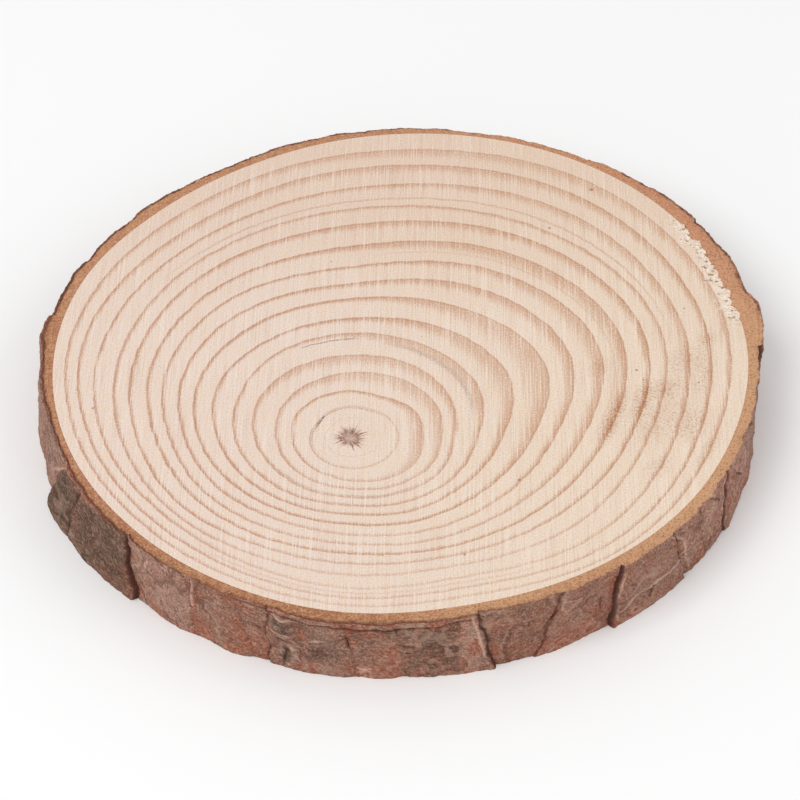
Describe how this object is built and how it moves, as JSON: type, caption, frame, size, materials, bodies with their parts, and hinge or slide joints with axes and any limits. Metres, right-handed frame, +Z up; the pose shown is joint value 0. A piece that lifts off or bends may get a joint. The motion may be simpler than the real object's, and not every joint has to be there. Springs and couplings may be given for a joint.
{
  "type": "wood slice",
  "caption": "Round crosswise slice of a young pine stem with its flaky bark on, lying flat on a sawn face: a coaster, craft base or rustic table decoration.",
  "frame": {"origin": "middle of the sawn underside, on the surface that the slice lies on", "axes": "+Z up through the slice's thickness; +Y away from the side of the rim that the pith lies nearest to"},
  "size_m": [0.0962, 0.0956, 0.01],
  "materials": {
    "wood": "sawn and lightly sanded, matt, no varnish",
    "bark": "rough, matt, flaky"
  },
  "bodies": {
    "root": {"wood": "wood", "bark": "bark"}
  },
  "joints": []
}
